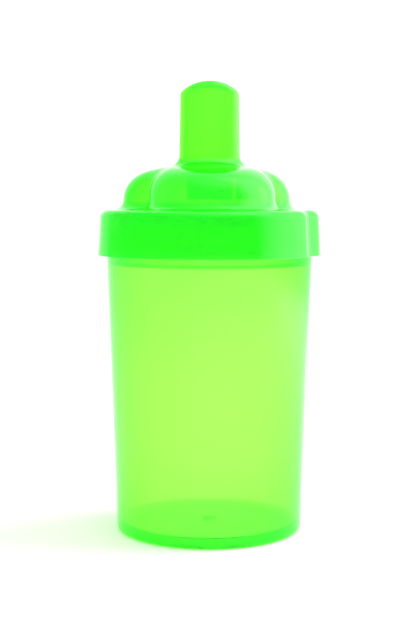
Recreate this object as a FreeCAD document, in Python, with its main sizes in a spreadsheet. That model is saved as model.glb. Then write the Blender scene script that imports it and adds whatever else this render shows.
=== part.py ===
"""Toddler's spout cup: a tapered tumbler with a screw-on lid, a silicone seal and a no-spill valve.

Frame: millimetres, +Z up, origin on the axis at the plane the foot stands on, front towards -Y.
The lid is drawn closed: its thread hangs midway between the ridges of the neck's thread.
"""
import FreeCAD, Part
import math
import os

import Sketcher

DIMENSIONS = {
    # shared
    "wall": 1.8,
    # tumbler
    "foot_radius": 30.0,
    "foot_rounding": 1.8,
    "recess_radius": 21.0,
    "recess_depth": 1.0,
    "gate_radius": 2.5,
    "gate_height": 0.9,        # of the moulding gate's button, on the floor's upper side
    "floor_height": 3.4,
    "floor_rounding": 1.4,
    "shoulder_radius": 34.9,
    "shoulder_height": 94.2,
    "neck_radius": 31.6,
    "neck_wall": 1.7,
    "neck_blend": 1.0,         # height over which the inner wall steps in to the neck
    "rim_height": 105.7,
    # screw thread
    "thread_lead": 12.0,
    "thread_starts": 3.0,
    "ridge_height": 1.5,
    "ridge_base": 2.4,
    "ridge_tip": 1.2,
    "ridge_low": 98.0,
    "ridge_turn": 0.42,        # turns covered by one ridge
    "lug_height": 1.4,
    "lug_base": 2.0,
    "lug_tip": 1.0,
    "lug_turn": 0.17,
    "thread_embed": 0.4,
    # lid, outside
    "collar_low": 94.6,
    "collar_radius": 37.9,
    "collar_draft": 3.0,
    "collar_rounding": 2.6,
    "groove_depth": 2.4,
    "groove_radius": 8.0,
    "groove_lip": 12.0,        # radius of the soft lips beside each groove
    "groove_turn": -20.0,      # degrees from +X to the first of the two grooves
    "ledge_height": 109.9,
    "lobe_turn": 6.0,          # degrees the dome's lobes are turned about +Z
    "front_lobe_radius": 21.2,
    "front_lobe_offset": 9.0,
    "rear_lobe_radius": 15.0,
    "rear_lobe_offset": 16.2,
    "valley_radius": 2.5,
    "dome_draft": 1.0,
    "dome_top": 125.5,
    "dome_crown": 95.0,        # radius of the dome's slightly crowned top
    "dome_rounding": 10.0,
    "dome_flare": 3.4,
    # spout
    "spout_half_width": 10.4,
    "spout_end_radius": 4.5,
    "spout_face_radius": 18.0,
    "spout_draft": 0.8,
    "spout_top": 153.2,
    "spout_crown": 15.0,
    "spout_rounding": 2.4,
    "spout_flare": 4.0,
    "drink_hole_length": 8.0,  # from inside the channel up to the spout's top
    "drink_hole_radius": 0.9,
    "drink_hole_pitch": 5.0,
    # lid, inside
    "collar_bore": 33.4,
    "skirt_radius": 29.3,
    "skirt_wall": 1.2,
    "skirt_low": 104.2,
    "socket_radius": 6.3,      # bore of the tube that grips the valve's main plug
    "socket_wall": 1.5,
    "socket_low": 113.4,
    "socket_top": 123.5,
    "flow_radius": 4.0,
    "spout_floor": 125.3,
    "vent_distance": 17.0,
    "vent_angle": 38.0,
    "vent_socket_radius": 3.2,
    "vent_socket_wall": 1.2,
    "vent_socket_top": 122.4,
    "vent_hole_radius": 0.8,
    # seal ring
    "seal_gap": 0.06,
    "seal_side_gap": 0.25,
    "seal_rib": 0.35,
    # valve
    "plug_gap": 0.15,
    "plug_wall": 1.5,
    "plug_top": 122.2,
    "vent_plug_top": 119.5,
    "vent_plug_wall": 1.3,
    "flange_gap": 0.1,
    "flange_thickness": 1.5,
    "flange_overhang": 1.2,
    "membrane": 0.7,
    "slit_length": 4.0,
    "slit_width": 0.3,
    "strap_half_width": 2.5,
    "tab_reach": 17.0,
}

CIRCLE_DEGREES = 360.0
HALF_CIRCLE = 180.0
GROOVES = 2                             # in the collar, opposite each other
LOBES = (                               # of the dome, anticlockwise: its sizes and its direction
    ("front_lobe", -90.0),
    ("rear_lobe", 30.0),
    ("rear_lobe", 90.0),
    ("rear_lobe", 150.0),
)
ARC_SLACK = "0.001"                     # keeps a half-round's radius just over half its width
OVERLAP = "0.5"                         # how far a piece runs into one it is joined to
CLEARANCE = "4"                         # how far a cutting shape runs past what it cuts
NEAR = 0.1                              # an edge this close to a height or radius counts as there
CUBIC_CENTIMETRE = 1000.0               # in cubic millimetres
ORIGIN, H_AXIS, V_AXIS = -1, -1, -2     # the sketcher's own geometry
START, END, CENTRE = 1, 2, 3            # the sketcher's point positions

doc = FreeCAD.newDocument("SpoutCup")
sheet = doc.addObject("Spreadsheet::Sheet", "Dims")
for row, (alias, size) in enumerate(DIMENSIONS.items(), start=1):
    sheet.set(f"A{row}", alias)
    sheet.set(f"B{row}", str(size))
    sheet.setAlias(f"B{row}", alias)
doc.recompute()


def value(text):
    """The number an expression has now, read through the sheet."""
    number = sheet.evalExpression(text)
    return float(getattr(number, "Value", number))


def bound(text):
    """The expression as objects outside the sheet write it: every alias with the sheet's name."""
    words = []
    word = ""
    for letter in text + " ":
        if letter.isalpha() or letter == "_":
            word += letter
            continue
        words.append(f"Dims.{word}" if word in DIMENSIONS else word)
        words.append(letter)
        word = ""
    return "".join(words).strip()


# ---------------------------------------------------------------- sketches

def new_body(name):
    body = doc.addObject("PartDesign::Body", name)
    body.Label = name
    return body


def origin_feature(body, role):
    return next(item for item in body.Origin.OriginFeatures if item.Role == role)


def new_sketch(body, name, plane="XZ_Plane", height=None):
    """A sketch on one of the body's planes, lifted by an expression."""
    sketch = body.newObject("Sketcher::SketchObject", name)
    sketch.AttachmentSupport = [(origin_feature(body, plane), "")]
    sketch.MapMode = "FlatFace"
    if height is not None:
        sketch.setExpression(".AttachmentOffset.Base.z", bound(height))
    return sketch


def constrain(sketch, *constraint, size=None):
    """Adds one constraint; size is the expression that drives it."""
    if size is not None:
        constraint = constraint + (value(size),)
    index = sketch.addConstraint(Sketcher.Constraint(*constraint))
    if size is not None:
        sketch.setExpression(f"Constraints[{index}]", bound(size))


def place_point(sketch, geometry, position, x_size, y_size):
    for kind, axis, size in (("DistanceX", V_AXIS, x_size), ("DistanceY", H_AXIS, y_size)):
        if size == "0":
            constrain(sketch, "PointOnObject", geometry, position, axis)
        else:
            constrain(sketch, kind, ORIGIN, START, geometry, position, size=size)


def arc_between(first, last, radius):
    """The short arc joining two points; a positive radius bulges to the right of the way it runs."""
    middle = (first + last) / 2
    along = last - first
    side = FreeCAD.Vector(along.y, -along.x, 0).normalize()
    reach = math.sqrt(radius ** 2 - (along.Length / 2) ** 2)
    centre = middle - side * math.copysign(reach, radius)
    angles = [math.atan2(point.y - centre.y, point.x - centre.x) for point in (first, last)]
    if radius < 0:
        angles.reverse()
    circle = Part.Circle(centre, FreeCAD.Vector(0, 0, 1), abs(radius))
    return Part.ArcOfCircle(circle, *angles)


def draw_outline(sketch, corners):
    """A closed outline. Each corner is (x, y) or, where an arc leads to it, (x, y, radius, side).

    Sizes are expressions; side is +1 where the arc bulges to the right of its way, -1 to the left.
    """
    points = [FreeCAD.Vector(value(corner[0]), value(corner[1]), 0) for corner in corners]
    ends = []
    for index, corner in enumerate(corners):
        first, last = points[index - 1], points[index]
        if len(corner) == 2:
            geometry = sketch.addGeometry(Part.LineSegment(first, last), False)
            ends.append((geometry, START, END))
            continue
        size, side = corner[2:]
        geometry = sketch.addGeometry(arc_between(first, last, side * value(size)), False)
        constrain(sketch, "Radius", geometry, size=size)
        ends.append((geometry, START, END) if side > 0 else (geometry, END, START))
    for index, corner in enumerate(corners):
        geometry, _, finish = ends[index]
        following, begin, _ = ends[(index + 1) % len(ends)]
        constrain(sketch, "Coincident", geometry, finish, following, begin)
        place_point(sketch, geometry, finish, corner[0], corner[1])


def draw_arc_ring(sketch, arcs):
    """A closed ring of arcs, each tangent to the next.

    Each arc is (centre x, centre y, radius, from degrees, to degrees, centre bound), the first
    three as expressions. A hollow arc, one that bends inwards, runs clockwise: from > to.
    """
    ends = []
    for x_size, y_size, radius, begin, finish, centre_bound in arcs:
        centre = FreeCAD.Vector(value(x_size), value(y_size), 0)
        circle = Part.Circle(centre, FreeCAD.Vector(0, 0, 1), value(radius))
        low, high = sorted((math.radians(begin), math.radians(finish)))
        geometry = sketch.addGeometry(Part.ArcOfCircle(circle, low, high), False)
        ends.append((geometry, START, END) if finish > begin else (geometry, END, START))
        constrain(sketch, "Radius", geometry, size=radius)
        if centre_bound:
            place_point(sketch, geometry, CENTRE, x_size, y_size)
    for index, (geometry, _, finish) in enumerate(ends):
        following, begin, _ = ends[(index + 1) % len(ends)]
        constrain(sketch, "Tangent", geometry, finish, following, begin)


def draw_circle(sketch, x_size, y_size, radius):
    centre = FreeCAD.Vector(value(x_size), value(y_size), 0)
    circle = Part.Circle(centre, FreeCAD.Vector(0, 0, 1), value(radius))
    geometry = sketch.addGeometry(circle, False)
    constrain(sketch, "Radius", geometry, size=radius)
    place_point(sketch, geometry, CENTRE, x_size, y_size)


# ---------------------------------------------------------------- features

def volume_of(body):
    return 0.0 if body.Tip is None or body.Shape.isNull() else body.Shape.Volume


def add_feature(body, kind, name, adds, **settings):
    """A PartDesign feature whose effect on the volume is checked."""
    before = volume_of(body)
    feature = body.newObject(f"PartDesign::{kind}", name)
    for key, setting in settings.items():
        if key.startswith("size_"):
            feature.setExpression(key[len("size_"):], bound(setting))
        else:
            setattr(feature, key, setting)
    doc.recompute()
    change = body.Shape.Volume - before
    if adds != (change > 0) or not change:
        raise RuntimeError(f"{name} changed the volume by {change:.2f} mm3")
    return feature


def revolve(body, sketch, name, adds=True):
    return add_feature(body, "Revolution" if adds else "Groove", name, adds, Profile=sketch,
                       ReferenceAxis=(origin_feature(body, "Z_Axis"), [""]),
                       Angle=CIRCLE_DEGREES)


def pad(body, sketch, name, length, draft="0"):
    return add_feature(body, "Pad", name, True, Profile=sketch, size_Length=length,
                       size_TaperAngle=draft)


def round_edges(body, name, chosen, radius, adds=False):
    """A fillet on the edges of the body's tip that chosen() accepts."""
    base = body.Tip
    names = [f"Edge{number}" for number, edge in enumerate(base.Shape.Edges, start=1)
             if chosen(edge)]
    if not names:
        raise RuntimeError(f"{name} found no edge")
    return add_feature(body, "Fillet", name, adds, Base=(base, names), size_Radius=radius)


def radius_at(point):
    return math.hypot(point.x, point.y)


def edge_between(low, high, least_radius=0.0, most_radius=math.inf):
    """A test for edges whose ends and middle all lie in a band of heights and radii."""
    def chosen(edge):
        first, last = edge.ParameterRange
        points = [edge.valueAt(parameter) for parameter in (first, (first + last) / 2, last)]
        return all(low <= point.z <= high and least_radius <= radius_at(point) <= most_radius
                   for point in points)
    return chosen


def thread(body, name, wall_radius, out, ridge, low, turns, adds):
    """Helical ridges on a round wall, one for each start, added to a shaft or cut from a core.

    out is +1 where the ridges stand out from the wall and -1 where they stand in from it.
    """
    sketch = new_sketch(body, f"{name}_section")
    root = f"{wall_radius} - ({out}) * thread_embed"
    crest = f"{wall_radius} + ({out}) * {ridge}_height"
    draw_outline(sketch, [
        (root, f"{low} - {ridge}_base / 2"),
        (crest, f"{low} - {ridge}_tip / 2"),
        (crest, f"{low} + {ridge}_tip / 2"),
        (root, f"{low} + {ridge}_base / 2"),
    ])
    doc.recompute()
    kind = "AdditiveHelix" if adds else "SubtractiveHelix"
    helix = add_feature(body, kind, name, adds, Profile=sketch,
                        ReferenceAxis=(origin_feature(body, "Z_Axis"), [""]),
                        Mode="pitch-turns-angle", size_Pitch="thread_lead", size_Turns=turns)
    before = volume_of(body)
    pattern = body.newObject("PartDesign::PolarPattern", f"{name}_starts")
    pattern.Originals = [helix]
    pattern.Axis = (origin_feature(body, "Z_Axis"), [""])
    pattern.Angle = CIRCLE_DEGREES
    pattern.setExpression("Occurrences", bound("thread_starts"))
    body.Tip = pattern
    doc.recompute()
    if adds != (volume_of(body) > before):
        raise RuntimeError(f"{name} has only one start")


# ---------------------------------------------------------------- cup body

def make_cup_body():
    """Tumbler: recessed foot, drafted wall, shoulder, and the neck that carries the thread."""
    body = new_body("cup_body")
    sketch = new_sketch(body, "cup_profile")
    neck_inner = "neck_radius - neck_wall"
    shoulder_inner = "shoulder_radius - wall"
    foot_inner = "foot_radius + foot_rounding - wall"
    draw_outline(sketch, [
        ("0", "recess_depth"),
        ("recess_radius", "recess_depth"),
        ("recess_radius + recess_depth", "0"),
        ("foot_radius", "0"),
        ("foot_radius + foot_rounding", "foot_rounding", "foot_rounding", 1),
        ("shoulder_radius", "shoulder_height"),
        ("neck_radius", "shoulder_height"),
        ("neck_radius", "rim_height - neck_wall / 2"),
        (neck_inner, "rim_height - neck_wall / 2", f"neck_wall / 2 + {ARC_SLACK}", 1),
        (neck_inner, "shoulder_height - wall"),
        (shoulder_inner, "shoulder_height - wall - neck_blend"),
        (foot_inner, "floor_height + floor_rounding"),
        (f"{foot_inner} - floor_rounding", "floor_height", "floor_rounding", -1),
        ("gate_radius", "floor_height"),
        ("gate_radius", "floor_height + gate_height"),
        ("0", "floor_height + gate_height"),
    ])
    doc.recompute()
    revolve(body, sketch, "tumbler")
    thread(body, "neck_thread", "neck_radius", 1, "ridge", "ridge_low", "ridge_turn", True)
    return body


# ---------------------------------------------------------------- lid

def polar(distance, angle):
    return f"({distance}) * cos({angle})", f"({distance}) * sin({angle})"


def draw_collar_outline(sketch):
    """A round outline with soft grooves."""
    lip_distance = value("collar_radius - groove_lip")
    groove_distance = "(collar_radius - groove_depth + groove_radius)"
    groove = value(groove_distance)
    reach = value("groove_lip + groove_radius")
    spread = math.degrees(math.acos((groove ** 2 + lip_distance ** 2 - reach ** 2)
                                    / (2 * groove * lip_distance)))
    # the way the line from a lip's centre to the groove's centre points, seen from the groove
    lean = math.degrees(math.asin(lip_distance * math.sin(math.radians(spread)) / reach))
    step = CIRCLE_DEGREES / GROOVES
    arcs = []
    for index in range(GROOVES):
        way = f"(groove_turn + {index * step})"
        middle = value(way)
        before, after = middle - spread, middle + spread
        arcs += [
            ("0", "0", "collar_radius", after - step, before, True),
            (*polar(lip_distance, before), "groove_lip", before, middle + lean, False),
            (*polar(groove_distance, way), "groove_radius",
             middle + HALF_CIRCLE + lean, middle + HALF_CIRCLE - lean, True),
            (*polar(lip_distance, after), "groove_lip", middle - lean, after, False),
        ]
    draw_arc_ring(sketch, arcs)


def way_to(start, end):
    """The direction from one point to another, in degrees."""
    return math.degrees(math.atan2(end.y - start.y, end.x - start.x))


def outer_meeting(first, first_reach, second, second_reach):
    """The point at a given reach from each of two centres that lies to the right of the way between."""
    between = second - first
    gap = between.Length
    along = (gap ** 2 + first_reach ** 2 - second_reach ** 2) / (2 * gap)
    across = math.sqrt(first_reach ** 2 - along ** 2)
    forward = between.normalize()
    return first + forward * along + FreeCAD.Vector(forward.y, -forward.x, 0) * across


def draw_dome_outline(sketch, inset):
    """A large round lobe in front and smaller ones behind it, with hollow blends between them."""
    valley = f"(valley_radius + {inset})"
    places = [polar(f"{name}_offset", f"({angle} + lobe_turn)") for name, angle in LOBES]
    sizes = [f"({name}_radius - {inset})" for name, _ in LOBES]
    centres = [FreeCAD.Vector(value(x_size), value(y_size), 0) for x_size, y_size in places]
    reaches = [value(f"{size} + {valley}") for size in sizes]
    blends = []
    for index, centre in enumerate(centres):
        following = (index + 1) % len(LOBES)
        blends.append(outer_meeting(centre, reaches[index], centres[following], reaches[following]))
    arcs = []
    for index, centre in enumerate(centres):
        blend = blends[index]
        begin = way_to(centre, blends[index - 1])
        finish = way_to(centre, blend)
        if finish < begin:
            finish += CIRCLE_DEGREES
        arcs.append((*places[index], sizes[index], begin, finish, True))
        begin = way_to(blend, centre)
        finish = way_to(blend, centres[(index + 1) % len(LOBES)])
        if finish > begin:
            finish -= CIRCLE_DEGREES
        arcs.append((str(blend.x), str(blend.y), valley, begin, finish, False))
    draw_arc_ring(sketch, arcs)


def draw_spout_outline(sketch, inset):
    """An oval of two tight end arcs and two long face arcs."""
    end = f"(spout_end_radius - {inset})"
    face = f"(spout_face_radius - {inset})"
    end_x = "spout_half_width - spout_end_radius"
    gap = value(f"{face} - {end}")
    lean = math.degrees(math.acos(value(end_x) / gap))
    face_y = f"sqrt(({face} - {end})^2 - ({end_x})^2)"
    draw_arc_ring(sketch, [
        (end_x, "0", end, -lean, lean, True),
        ("0", f"-1 * {face_y}", face, lean, HALF_CIRCLE - lean, False),
        (f"-1 * ({end_x})", "0", end, HALF_CIRCLE - lean, HALF_CIRCLE + lean, True),
        ("0", face_y, face, HALF_CIRCLE + lean, CIRCLE_DEGREES - lean, False),
    ])


def add_dome(body, name, inset, low):
    """The lobed dome from a height up to its crowned top, rounded over; inset shrinks it all round."""
    top = f"dome_top - {inset}"
    crown = f"(dome_crown - {inset})"
    reach = f"(collar_radius + {CLEARANCE})"
    sketch = new_sketch(body, f"{name}_outline", "XY_Plane", low)
    draw_dome_outline(sketch, inset)
    doc.recompute()
    pad(body, sketch, f"{name}_block", f"dome_top + {CLEARANCE} - ({low})", "-1 * dome_draft")
    cutter = new_sketch(body, f"{name}_crown")
    drop = f"({crown} - sqrt({crown}^2 - {reach}^2))"
    above = f"dome_top + 2 * {CLEARANCE}"
    draw_outline(cutter, [
        ("0", top),
        (reach, f"{top} - {drop}", crown, -1),
        (reach, above),
        ("0", above),
    ])
    doc.recompute()
    revolve(body, cutter, f"{name}_crowned", adds=False)
    round_edges(body, f"{name}_rounded",
                edge_between(value(f"{top} - {drop}"), value(top), value("spout_half_width")),
                f"dome_rounding - {inset}")


def add_spout(body, name, inset, low):
    """The spout from a height up to its arched top; inset shrinks it all round."""
    top = f"spout_top - {inset}"
    crown = f"(spout_crown - {inset})"
    reach = "(spout_half_width + wall)"
    sketch = new_sketch(body, f"{name}_outline", "XY_Plane", low)
    draw_spout_outline(sketch, inset)
    doc.recompute()
    pad(body, sketch, f"{name}_block", f"spout_top + {CLEARANCE} - ({low})", "-1 * spout_draft")
    cutter = new_sketch(body, f"{name}_arch")
    drop = f"({crown} - sqrt({crown}^2 - {reach}^2))"
    above = f"spout_top + 2 * {CLEARANCE}"
    draw_outline(cutter, [
        (f"-1 * {reach}", f"{top} - {drop}"),
        (reach, f"{top} - {drop}", crown, -1),
        (reach, above),
        (f"-1 * {reach}", above),
    ])
    doc.recompute()
    add_feature(body, "Pocket", f"{name}_arched", False, Profile=cutter, Type="ThroughAll",
                Midplane=True)
    round_edges(body, f"{name}_rounded",
                edge_between(value(f"{top} - {drop}"), value(top) + NEAR),
                f"spout_rounding - {inset} / 2")


def make_lid_skin():
    """The lid's outside: grooved collar, lobed dome and spout, still solid."""
    body = new_body("lid_skin")
    collar = new_sketch(body, "collar_outline", "XY_Plane", "collar_low")
    draw_collar_outline(collar)
    doc.recompute()
    pad(body, collar, "collar_block", "ledge_height - collar_low", "-1 * collar_draft")
    ledge = value("ledge_height")
    round_edges(body, "collar_shoulder", edge_between(ledge - NEAR, ledge + NEAR),
                "collar_rounding")
    add_dome(body, "dome", "0", "ledge_height")
    dome_reach = value("rear_lobe_offset + rear_lobe_radius") + NEAR
    round_edges(body, "dome_foot",
                edge_between(ledge - NEAR, ledge + NEAR, most_radius=dome_reach),
                "dome_flare", adds=True)
    add_spout(body, "spout", "0", "dome_top - spout_flare")
    top = value("dome_top")
    round_edges(body, "spout_foot",
                edge_between(top - value("wall"), top + NEAR, most_radius=value("spout_half_width")),
                "spout_flare", adds=True)
    return body


def make_lid_core():
    """The space inside the lid: threaded bore, lobed hollow, flow hole, spout and its holes."""
    body = new_body("lid_core")
    bore = new_sketch(body, "bore_profile")
    draw_outline(bore, [
        ("0", f"collar_low - {CLEARANCE}"),
        ("collar_bore", f"collar_low - {CLEARANCE}"),
        ("collar_bore", "ledge_height - wall"),
        ("0", "ledge_height - wall"),
    ])
    doc.recompute()
    revolve(body, bore, "bore")
    lug_low = "ridge_low - thread_lead / thread_starts / 2"
    thread(body, "lid_thread", "collar_bore", -1, "lug", lug_low, "lug_turn", False)
    add_dome(body, "hollow", "wall", "ledge_height - wall")
    round_hole(body, "flow_hole", ("0", "0"), "flow_radius", "socket_low",
               f"spout_floor + {OVERLAP}")
    add_spout(body, "channel", "wall", "spout_floor")
    for name, place in (("left_hole", "-1 * drink_hole_pitch"), ("middle_hole", "0"),
                        ("right_hole", "drink_hole_pitch")):
        round_hole(body, name, (place, "0"), "drink_hole_radius",
                   "spout_top - drink_hole_length", f"spout_top + {CLEARANCE}")
    vent = polar("vent_distance", "vent_angle")
    round_hole(body, "vent_hole", vent, "vent_hole_radius", "socket_low",
               f"dome_top + {CLEARANCE}")
    return body


def round_hole(body, name, place, radius, low, high):
    """An upright round post, which becomes a hole once its body is cut away."""
    sketch = new_sketch(body, f"{name}_circle", "XY_Plane", low)
    draw_circle(sketch, *place, radius)
    doc.recompute()
    pad(body, sketch, name, f"{high} - ({low})")


def make_tube(name, place, radius, wall, low, high):
    """A plain upright tube, as two cylinders and a cut; radius is its bore."""
    cylinders = []
    for part_name, size in ((f"{name}_outer", f"{radius} + {wall}"), (f"{name}_bore", radius)):
        cylinder = doc.addObject("Part::Cylinder", part_name)
        cylinder.setExpression("Radius", bound(size))
        cylinder.setExpression("Height", bound(f"{high} - {low}"))
        cylinder.setExpression(".Placement.Base.x", bound(place[0]))
        cylinder.setExpression(".Placement.Base.y", bound(place[1]))
        cylinder.setExpression(".Placement.Base.z", bound(low))
        cylinders.append(cylinder)
    tube = doc.addObject("Part::Cut", name)
    tube.Base, tube.Tool = cylinders
    return tube


def make_lid():
    """One moulding: the skin less the core, with the valve's two sockets and the seal's skirt."""
    hollowed = doc.addObject("Part::Cut", "hollowed_lid")
    hollowed.Base = make_lid_skin()
    hollowed.Tool = make_lid_core()
    lid = doc.addObject("Part::MultiFuse", "lid")
    lid.Label = "lid"
    lid.Shapes = [
        hollowed,
        make_tube("valve_socket", ("0", "0"), "socket_radius", "socket_wall",
                  "socket_low", "socket_top"),
        make_tube("vent_socket", polar("vent_distance", "vent_angle"), "vent_socket_radius",
                  "vent_socket_wall", "socket_low", "vent_socket_top"),
        make_tube("skirt", ("0", "0"), "skirt_radius - skirt_wall", "skirt_wall",
                  "skirt_low", f"ledge_height - wall + {OVERLAP}"),
    ]
    doc.recompute()
    return lid


# ---------------------------------------------------------------- seal ring

def make_seal_ring():
    """A flat silicone ring round the skirt, with a half-round rib that bears on the neck's rim."""
    body = new_body("seal_ring")
    sketch = new_sketch(body, "seal_profile")
    inner = "skirt_radius + seal_side_gap"
    outer = "collar_bore - seal_side_gap"
    low = "rim_height + seal_gap + seal_rib"
    high = "ledge_height - wall - seal_gap"
    rib = "neck_radius - neck_wall / 2"
    draw_outline(sketch, [
        (inner, low),
        (f"{rib} - seal_rib", low),
        (f"{rib} + seal_rib", low, f"seal_rib + {ARC_SLACK}", 1),
        (outer, low),
        (outer, high),
        (inner, high),
    ])
    doc.recompute()
    revolve(body, sketch, "seal")
    return body


# ---------------------------------------------------------------- valve

def make_valve():
    """A silicone no-spill valve: two hollow plugs with slit floors, joined by a strap with a tab."""
    body = new_body("valve")
    high = "(socket_low - flange_gap)"
    low = f"({high} - flange_thickness)"
    plug = "(socket_radius - plug_gap)"
    vent_plug = "(vent_socket_radius - plug_gap)"
    vent = polar("vent_distance", "vent_angle")
    profile = new_sketch(body, "plug_profile")
    flange = "socket_radius + socket_wall + flange_overhang"
    hollow = f"{plug} - plug_wall"
    draw_outline(profile, [
        ("0", low),
        (flange, low),
        (flange, high),
        (plug, high),
        (plug, "plug_top - plug_wall / 2"),
        (hollow, "plug_top - plug_wall / 2", f"plug_wall / 2 + {ARC_SLACK}", 1),
        (hollow, f"{low} + membrane"),
        ("0", f"{low} + membrane"),
    ])
    doc.recompute()
    revolve(body, profile, "main_plug")
    strap = new_sketch(body, "strap_outline", "XY_Plane", low)
    draw_strap(strap)
    doc.recompute()
    pad(body, strap, "strap", "flange_thickness")
    vent_flange = "vent_socket_radius + vent_socket_wall + flange_overhang / 2"
    round_hole(body, "vent_flange", vent, vent_flange, low, high)
    round_hole(body, "vent_plug", vent, vent_plug, f"{high} - {OVERLAP}", "vent_plug_top")
    cut_down(body, "vent_bore", "vent_plug_top", f"{low} + membrane",
             lambda sketch: draw_circle(sketch, *vent, f"{vent_plug} - vent_plug_wall"))
    cut_down(body, "plug_bore", "plug_top", f"{low} + membrane",
             lambda sketch: draw_circle(sketch, "0", "0", hollow))
    cut_down(body, "slit", high, low, draw_slit)
    return body


def draw_strap(sketch):
    """The strap from the vent plug to the pull tab, through the main plug's centre, round-ended."""
    def point(along, across):
        return (f"({along}) * cos(vent_angle) - ({across}) * sin(vent_angle)",
                f"({along}) * sin(vent_angle) + ({across}) * cos(vent_angle)")
    half = "strap_half_width"
    draw_outline(sketch, [
        point("-1 * tab_reach", f"-1 * {half}"),
        point("vent_distance", f"-1 * {half}"),
        point("vent_distance", half),
        point("-1 * tab_reach", half),
        (*point(f"-1 * tab_reach - {half}", "0"), half, 1),
    ])


def draw_slit(sketch):
    draw_outline(sketch, [
        ("-1 * slit_length / 2", "-1 * slit_width / 2"),
        ("slit_length / 2", "-1 * slit_width / 2"),
        ("slit_length / 2", "slit_width / 2"),
        ("-1 * slit_length / 2", "slit_width / 2"),
    ])


def cut_down(body, name, high, low, draw):
    """A pocket from one height down to another."""
    sketch = new_sketch(body, f"{name}_outline", "XY_Plane", high)
    draw(sketch)
    doc.recompute()
    add_feature(body, "Pocket", name, False, Profile=sketch, size_Length=f"{high} - ({low})")


# ---------------------------------------------------------------- build, check and write

def check_document():
    failed = [item.Name for item in doc.Objects if {"Invalid", "Error"} & set(item.State)]
    if failed:
        raise RuntimeError(f"these objects failed: {failed}")


def write_parts(pieces):
    check_document()
    for piece in pieces:
        if piece.Shape.isNull() or not piece.Shape.isValid() or len(piece.Shape.Solids) != 1:
            raise RuntimeError(f"{piece.Label} isn't one valid solid")
    os.makedirs("parts", exist_ok=True)
    for piece in pieces:
        piece.Shape.exportStep(f"parts/{piece.Label}.step")
        print(piece.Label, f"{piece.Shape.Volume / CUBIC_CENTIMETRE:.2f} cm3")


write_parts([make_cup_body(), make_lid(), make_seal_ring(), make_valve()])
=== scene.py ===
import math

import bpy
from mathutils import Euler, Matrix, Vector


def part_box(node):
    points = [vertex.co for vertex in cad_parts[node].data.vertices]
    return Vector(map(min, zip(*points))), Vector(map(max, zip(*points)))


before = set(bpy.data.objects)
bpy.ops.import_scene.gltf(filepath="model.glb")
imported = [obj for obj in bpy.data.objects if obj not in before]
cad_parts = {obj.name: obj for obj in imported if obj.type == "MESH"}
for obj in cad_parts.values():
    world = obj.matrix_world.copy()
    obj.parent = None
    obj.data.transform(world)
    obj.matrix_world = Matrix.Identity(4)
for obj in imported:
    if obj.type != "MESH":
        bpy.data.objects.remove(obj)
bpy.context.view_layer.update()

# Looks of the toddler's spout cup: clear green mouldings, milky silicone, a white studio.
# Lengths are in metres in the frame's own axes: +Z up, the cup's front towards -Y.

CUP_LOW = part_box("cup_body")[0]
LID_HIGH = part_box("lid")[1]
CUP_HEIGHT = LID_HIGH.z - CUP_LOW.z
MM = 0.001


# ---------------------------------------------------------------- node building

class Nodes:
    """Adds nodes to one material or world and links them by plain calls."""

    def __init__(self, material):
        material.use_nodes = True
        self.tree = material.node_tree
        self.tree.nodes.clear()

    def add(self, kind, **settings):
        """A new node of one kind, with its own settings."""
        node = self.tree.nodes.new(kind)
        for name, setting in settings.items():
            setattr(node, name, setting)
        return node

    def link(self, source, target):
        """Joins an output to an input."""
        self.tree.links.new(source, target)

    def noise(self, place, scale, detail=2.0, roughness=0.5):
        """Noise from 0 to 1 at a place; scale is in repeats per metre."""
        node = self.add("ShaderNodeTexNoise")
        node.inputs["Scale"].default_value = scale
        node.inputs["Detail"].default_value = detail
        node.inputs["Roughness"].default_value = roughness
        self.link(place, node.inputs["Vector"])
        return node.outputs["Fac"]

    def spread(self, source, low, high, to_low, to_high):
        """Maps low..high onto to_low..to_high, held at both ends."""
        node = self.add("ShaderNodeMapRange", clamp=True)
        node.inputs["From Min"].default_value = low
        node.inputs["From Max"].default_value = high
        node.inputs["To Min"].default_value = to_low
        node.inputs["To Max"].default_value = to_high
        self.link(source, node.inputs["Value"])
        return node.outputs["Result"]

    def math(self, operation, first, second=0.0):
        """One arithmetic node; each input is a socket or a number."""
        node = self.add("ShaderNodeMath", operation=operation)
        for slot, item in enumerate((first, second)):
            if isinstance(item, (int, float)):
                node.inputs[slot].default_value = item
            else:
                self.link(item, node.inputs[slot])
        return node.outputs["Value"]

    def mix_colours(self, factor, first, second):
        """Blends two colours; each is a socket or three numbers."""
        node = self.add("ShaderNodeMix", data_type="RGBA")
        for name, colour in (("A", first), ("B", second)):
            if isinstance(colour, tuple):
                node.inputs[name].default_value = (*colour, 1.0)
            else:
                self.link(colour, node.inputs[name])
        self.link(factor, node.inputs["Factor"])
        return node.outputs["Result"]

    def stretched(self, place, scales):
        """The place with each axis scaled, so noise made from it runs in streaks."""
        node = self.add("ShaderNodeMapping")
        node.inputs["Scale"].default_value = scales
        self.link(place, node.inputs["Vector"])
        return node.outputs["Vector"]

    def bump(self, height, depth, below=None):
        """A bump of the given depth in metres, laid over an earlier bump if there is one."""
        node = self.add("ShaderNodeBump")
        node.inputs["Distance"].default_value = depth
        self.link(height, node.inputs["Height"])
        if below is not None:
            self.link(below, node.inputs["Normal"])
        return node.outputs["Normal"]


# ---------------------------------------------------------------- materials

# The inside bends light little, as milky material shows no sharp refraction.
INNER_IOR = 1.04

PLASTIC_SKIN_IOR = 1.49
PLASTIC_SKIN_ROUGHNESS = 0.05
RUBBED_ROUGHNESS = (0.05, 0.14)
FRONT_SHADE_FADE = (-0.015, 0.0)       # y over which the painted shade on a piece's front fades out
SPOUT_SHADE_FADE = (0.124, 0.128)      # z over which the painted shade fades out towards the spout
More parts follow.
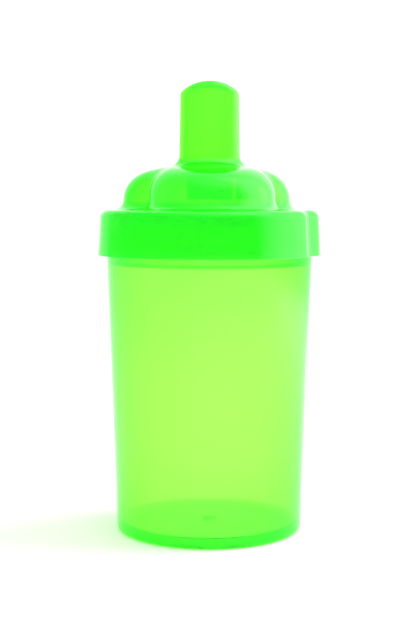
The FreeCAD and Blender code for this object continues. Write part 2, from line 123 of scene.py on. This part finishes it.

# Patterns in the plastic: repeats per metre, and scales along x, y and z; a small scale draws a
# pattern out that way.
STREAKS_PER_METRE = 95.0
STREAK_SCALES = (1.0, 1.0, 0.12)
CLOUDS_PER_METRE = 38.0
RUBS_PER_METRE = 120.0
WAVES_PER_METRE = 55.0
WAVE_SCALES = (1.0, 1.0, 0.5)
DRAW_LINES_PER_METRE = 900.0
DRAW_LINE_SCALES = (1.0, 1.0, 0.02)
GRAINS_PER_METRE = 5200.0
WAVE_DEPTH = 0.25 * MM
DRAW_LINE_DEPTH = 0.006 * MM
GRAIN_DEPTH = 0.004 * MM

# The parts of each pattern's 0 to 1 that run from one look to the other.
PIGMENT_SPAN = (0.4, 0.6)
RUB_SPAN = (0.35, 0.7)


def clear_plastic(name, tint, tint_low, front_shade_colour, soaked, density, milk, milkiness):
    """Pigmented, slightly milky plastic with a glossy skin.

    tint and tint_low are the colours of one surface, and front_shade_colour is painted shade: a deeper
    green laid on the piece's front below the spout. soaked and density are the colour that builds up
    with depth. milk is the colour of the light the plastic scatters, and milkiness its share.
    """
    material = bpy.data.materials.new(name)
    nodes = Nodes(material)
    place = nodes.add("ShaderNodeTexCoord").outputs["Object"]

    # Pigment stirred in unevenly: long streaks up the wall and soft clouds.
    streaks = nodes.noise(nodes.stretched(place, STREAK_SCALES), STREAKS_PER_METRE, detail=3.0)
    clouds = nodes.noise(place, CLOUDS_PER_METRE, detail=3.0, roughness=0.6)
    pigment = nodes.math("MULTIPLY", nodes.math("ADD", streaks, clouds), 0.5)
    unevenness = nodes.spread(pigment, *PIGMENT_SPAN, 0.0, 1.0)
    colour = nodes.mix_colours(unevenness, tint, tint_low)

    # Painted shade: the front below the spout gets a deeper green, standing in for the shade of the walls
    # behind it.
    axes = nodes.add("ShaderNodeSeparateXYZ")
    nodes.link(place, axes.inputs["Vector"])
    shaded_front = nodes.spread(axes.outputs["Y"], *FRONT_SHADE_FADE, 1.0, 0.0)
    shaded_below_spout = nodes.spread(axes.outputs["Z"], *SPOUT_SHADE_FADE, 1.0, 0.0)
    colour = nodes.mix_colours(nodes.math("MULTIPLY", shaded_front, shaded_below_spout), colour, front_shade_colour)

    # Rubbed patches are glossier or hazier.
    rubs = nodes.noise(place, RUBS_PER_METRE, detail=4.0, roughness=0.65)
    roughness = nodes.spread(rubs, *RUB_SPAN, *RUBBED_ROUGHNESS)

    # Slow waves from uneven shrinkage, draw lines up the wall and a fine moulded grain.
    waves = nodes.noise(nodes.stretched(place, WAVE_SCALES), WAVES_PER_METRE, detail=1.0)
    draw_lines = nodes.noise(nodes.stretched(place, DRAW_LINE_SCALES), DRAW_LINES_PER_METRE)
    grain = nodes.noise(place, GRAINS_PER_METRE)
    normal = nodes.bump(waves, WAVE_DEPTH)
    normal = nodes.bump(draw_lines, DRAW_LINE_DEPTH, below=normal)
    normal = nodes.bump(grain, GRAIN_DEPTH, below=normal)

    shader = nodes.add("ShaderNodeBsdfPrincipled")
    nodes.link(colour, shader.inputs["Base Color"])
    nodes.link(roughness, shader.inputs["Roughness"])
    nodes.link(normal, shader.inputs["Normal"])
    nodes.link(normal, shader.inputs["Coat Normal"])
    shader.inputs["IOR"].default_value = INNER_IOR
    shader.inputs["Transmission Weight"].default_value = 1.0
    shader.inputs["Coat Weight"].default_value = 1.0
    shader.inputs["Coat Roughness"].default_value = PLASTIC_SKIN_ROUGHNESS
    shader.inputs["Coat IOR"].default_value = PLASTIC_SKIN_IOR

    scattered = nodes.add("ShaderNodeBsdfTranslucent")
    scattered.inputs["Color"].default_value = (*milk, 1.0)
    nodes.link(normal, scattered.inputs["Normal"])
    both = nodes.add("ShaderNodeMixShader")
    both.inputs["Fac"].default_value = milkiness
    nodes.link(shader.outputs["BSDF"], both.inputs[1])
    nodes.link(scattered.outputs["BSDF"], both.inputs[2])

    absorption = nodes.add("ShaderNodeVolumeAbsorption")
    absorption.inputs["Color"].default_value = (*soaked, 1.0)
    absorption.inputs["Density"].default_value = density

    output = nodes.add("ShaderNodeOutputMaterial")
    nodes.link(both.outputs["Shader"], output.inputs["Surface"])
    nodes.link(absorption.outputs["Volume"], output.inputs["Volume"])
    return material


SILICONE_SKIN_IOR = 1.41
SILICONE_SKIN_WEIGHT = 0.3
SILICONE_SKIN_ROUGHNESS = 0.4
SILICONE_CLOUDS_PER_METRE = 220.0
SILICONE_CLOUD_SPAN = (0.35, 0.65)
DUST_PER_METRE = 1800.0
DUST_SPAN = (0.3, 0.7)
DUST_ROUGHNESS = (0.2, 0.4)
PIT_DEPTH = 0.02 * MM


def milky_silicone(name, tint, tint_low):
    """Soft translucent silicone with a dusty, slightly pitted skin; it is tint and tint_low in clouds."""
    material = bpy.data.materials.new(name)
    nodes = Nodes(material)
    place = nodes.add("ShaderNodeTexCoord").outputs["Object"]
    clouds = nodes.noise(place, SILICONE_CLOUDS_PER_METRE, detail=4.0, roughness=0.6)
    dust = nodes.noise(place, DUST_PER_METRE, detail=3.0, roughness=0.7)
    cloudiness = nodes.spread(clouds, *SILICONE_CLOUD_SPAN, 0.0, 1.0)
    colour = nodes.mix_colours(cloudiness, tint, tint_low)
    roughness = nodes.spread(dust, *DUST_SPAN, *DUST_ROUGHNESS)
    normal = nodes.bump(dust, PIT_DEPTH)
    shader = nodes.add("ShaderNodeBsdfPrincipled")
    nodes.link(colour, shader.inputs["Base Color"])
    nodes.link(roughness, shader.inputs["Roughness"])
    nodes.link(normal, shader.inputs["Normal"])
    shader.inputs["IOR"].default_value = INNER_IOR
    shader.inputs["Transmission Weight"].default_value = 1.0
    shader.inputs["Coat Weight"].default_value = SILICONE_SKIN_WEIGHT
    shader.inputs["Coat Roughness"].default_value = SILICONE_SKIN_ROUGHNESS
    shader.inputs["Coat IOR"].default_value = SILICONE_SKIN_IOR
    output = nodes.add("ShaderNodeOutputMaterial")
    nodes.link(shader.outputs["BSDF"], output.inputs["Surface"])
    return material


def cover(name, material):
    """Puts a material in every slot of one CAD node."""
    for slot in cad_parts[name].material_slots:
        slot.material = material


cup_green = clear_plastic(
    "cup_plastic",
    tint=(0.87, 1.0, 0.54),
    tint_low=(0.84, 1.0, 0.50),
    # painted shade on the cup's front below the spout
    front_shade_colour=(0.85, 1.0, 0.52),
    soaked=(0.62, 0.999, 0.34),
    density=510.0,
    milk=(0.84, 1.0, 0.64),
    milkiness=0.15,
)
lid_green = clear_plastic(
    "lid_plastic",
    tint=(0.95, 1.0, 0.23),
    tint_low=(0.90, 1.0, 0.20),
    # painted shade on the lid's front below the spout
    front_shade_colour=(0.60, 1.0, 0.40),
    soaked=(0.47, 0.999, 0.26),
    density=460.0,
    milk=(0.18, 1.0, 0.56),
    milkiness=0.34,
)
seal_milky = milky_silicone("seal_silicone", tint=(0.97, 0.99, 0.96), tint_low=(0.93, 0.96, 0.92))
valve_milky = milky_silicone("valve_silicone", tint=(0.98, 0.99, 0.97), tint_low=(0.94, 0.97, 0.93))
cover("cup_body", cup_green)
cover("lid", lid_green)
cover("seal_ring", seal_milky)
cover("valve", valve_milky)


# ---------------------------------------------------------------- studio

FLOOR_HALF_SIZE = 3.0
FLOOR_GAP = 0.05 * MM       # so that the floor's face and the foot's don't coincide
FLOOR_WHITE = (0.97, 0.97, 0.97)
FLOOR_WHITE_LOW = (0.95, 0.95, 0.95)
FIBRES_PER_METRE = 900.0


def studio_paper(name, white, white_low):
    """Matt white paper with faint fibre."""
    material = bpy.data.materials.new(name)
    nodes = Nodes(material)
    place = nodes.add("ShaderNodeTexCoord").outputs["Object"]
    fibre = nodes.noise(place, FIBRES_PER_METRE, detail=3.0)
    colour = nodes.mix_colours(fibre, white, white_low)
    shader = nodes.add("ShaderNodeBsdfPrincipled")
    nodes.link(colour, shader.inputs["Base Color"])
    shader.inputs["Roughness"].default_value = 1.0
    shader.inputs["Specular IOR Level"].default_value = 0.0
    output = nodes.add("ShaderNodeOutputMaterial")
    nodes.link(shader.outputs["BSDF"], output.inputs["Surface"])
    return material


def flat_sheet(name, half_size, height):
    """A level square about the z axis."""
    mesh = bpy.data.meshes.new(name)
    corners = [
        (-half_size, -half_size, height),
        (half_size, -half_size, height),
        (half_size, half_size, height),
        (-half_size, half_size, height),
    ]
    mesh.from_pydata(corners, [], [(0, 1, 2, 3)])
    sheet = bpy.data.objects.new(name, mesh)
    bpy.context.scene.collection.objects.link(sheet)
    return sheet


floor = flat_sheet("floor", FLOOR_HALF_SIZE, CUP_LOW.z - FLOOR_GAP)
floor.data.materials.append(studio_paper("floor_paper", FLOOR_WHITE, FLOOR_WHITE_LOW))

# How bright the white studio is, and how bright the things are that glossy skins mirror in it.
WORLD_WHITE = 1.35
MIRRORED_WINDOW = 4.8            # on the right
MIRRORED_PAPER = (1.3, 3.2)      # behind and above, brighter to the right
MIRRORED_ROOM = 0.7              # in front and on the left

# Edges fade from the first value to the second. Angles are measured round from the front, -Y;
# the others are parts of a direction of length 1.
WINDOW_NEAR_EDGE = (math.radians(48.0), math.radians(76.0))
WINDOW_FAR_EDGE = (math.radians(115.0), math.radians(140.0))
PAPER_SIDE_EDGE = (math.radians(118.0), math.radians(132.0))
PAPER_ABOVE_EDGE = (0.55, 0.9)
PAPER_LEFT_TO_RIGHT = (-0.5, 0.5)


def studio_world():
    """White all round; glossy skins mirror a window, white paper and a dimmer room in it."""
    world = bpy.data.worlds.new("studio")
    bpy.context.scene.world = world
    nodes = Nodes(world)
    way = nodes.add("ShaderNodeSeparateXYZ")
    nodes.link(nodes.add("ShaderNodeTexCoord").outputs["Generated"], way.inputs["Vector"])
    forward = nodes.math("MULTIPLY", way.outputs["Y"], -1.0)
    turn = nodes.math("ARCTAN2", way.outputs["X"], forward)

    past_near = nodes.spread(turn, *WINDOW_NEAR_EDGE, 0.0, 1.0)
    before_far = nodes.spread(turn, *WINDOW_FAR_EDGE, 1.0, 0.0)
    in_window = nodes.math("MULTIPLY", past_near, before_far)
    window_or_room = nodes.spread(in_window, 0.0, 1.0, MIRRORED_ROOM, MIRRORED_WINDOW)

    behind = nodes.spread(nodes.math("ABSOLUTE", turn), *PAPER_SIDE_EDGE, 0.0, 1.0)
    above = nodes.spread(way.outputs["Z"], *PAPER_ABOVE_EDGE, 0.0, 1.0)
    paper_light = nodes.spread(way.outputs["X"], *PAPER_LEFT_TO_RIGHT, *MIRRORED_PAPER)
    paper = nodes.math("MULTIPLY", nodes.math("MAXIMUM", behind, above), paper_light)
    mirrored = nodes.math("MAXIMUM", window_or_room, paper)

    path = nodes.add("ShaderNodeLightPath")
    strength = nodes.add("ShaderNodeMix", data_type="FLOAT")
    strength.inputs["A"].default_value = WORLD_WHITE
    nodes.link(mirrored, strength.inputs["B"])
    nodes.link(path.outputs["Is Glossy Ray"], strength.inputs["Factor"])
    background = nodes.add("ShaderNodeBackground")
    nodes.link(strength.outputs["Result"], background.inputs["Strength"])
    output = nodes.add("ShaderNodeOutputWorld")
    nodes.link(background.outputs["Background"], output.inputs["Surface"])


studio_world()

MOST_BOUNCES = 40           # a line of sight through the lid crosses many walls
bpy.context.scene.cycles.max_bounces = MOST_BOUNCES
bpy.context.scene.cycles.transmission_bounces = MOST_BOUNCES
bpy.context.scene.cycles.transparent_max_bounces = MOST_BOUNCES
bpy.context.scene.view_settings.view_transform = "Standard"


def softbox(name, place, aim, size, power):
    """A square soft light, turned to face a point."""
    light = bpy.data.lights.new(name, "AREA")
    light.shape = "SQUARE"
    light.size = size
    light.energy = power
    lamp = bpy.data.objects.new(name, light)
    lamp.location = place
    lamp.rotation_euler = (Vector(aim) - Vector(place)).to_track_quat("-Z", "Y").to_euler()
    bpy.context.scene.collection.objects.link(lamp)
    return lamp


CUP_MIDDLE = (0.0, 0.0, CUP_HEIGHT / 2)
KEY_PLACE = (0.62, 0.12, 0.42)
KEY_SIZE = 0.6
KEY_POWER = 6.0

key = softbox("key_right", KEY_PLACE, CUP_MIDDLE, KEY_SIZE, KEY_POWER)
key.visible_glossy = False


# ---------------------------------------------------------------- camera

LENS_LENGTH = 78.0               # millimetres
CAMERA_DISTANCE = 0.462
CAMERA_HEIGHT = 0.11535
CAMERA_OFFSET = -0.45 * MM       # puts the cup just right of the picture's middle
CAMERA_DIP = math.radians(5.0)
CAMERA_ROLL = math.radians(0.13)
LEVEL = math.radians(90.0)       # from straight down, as an unturned camera looks, to level

camera_data = bpy.data.cameras.new("camera")
camera_data.lens = LENS_LENGTH
camera = bpy.data.objects.new("camera", camera_data)
camera.location = (CAMERA_OFFSET, -CAMERA_DISTANCE, CAMERA_HEIGHT)
camera.rotation_mode = "XYZ"
facing = Euler((LEVEL - CAMERA_DIP, 0.0, 0.0)).to_matrix()
rolled = Euler((0.0, 0.0, CAMERA_ROLL)).to_matrix()
camera.rotation_euler = (facing @ rolled).to_euler("XYZ")
bpy.context.scene.collection.objects.link(camera)
bpy.context.scene.camera = camera
